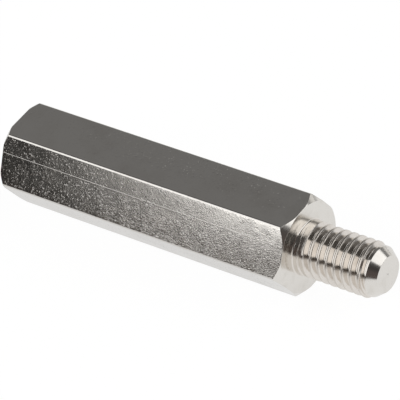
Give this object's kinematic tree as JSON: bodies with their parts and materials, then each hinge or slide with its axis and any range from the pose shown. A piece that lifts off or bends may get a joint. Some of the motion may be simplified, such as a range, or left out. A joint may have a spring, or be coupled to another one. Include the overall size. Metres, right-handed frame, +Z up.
{
  "type": "hex standoff",
  "caption": "Male-female hexagonal metal standoff: a chamfered hex bar with a threaded stud at one end and a blind tapped hole at the other, lying on one flat.",
  "frame": {"origin": "on the surface that the standoff lies on, under the middle of its length: the middle of the bottom of the bounding box", "axes": "+X runs along the axis from the tapped hole to the stud's tip, +Y is across the bar, and +Z is up, square to the flat that faces up"},
  "size_m": [0.038, 0.0092, 0.008],
  "materials": {
    "nickel_plate": "bright nickel plate over brass, mirror-like with the bar's fine drawn grain"
  },
  "bodies": {
    "root": {"standoff": "nickel_plate"}
  },
  "joints": []
}
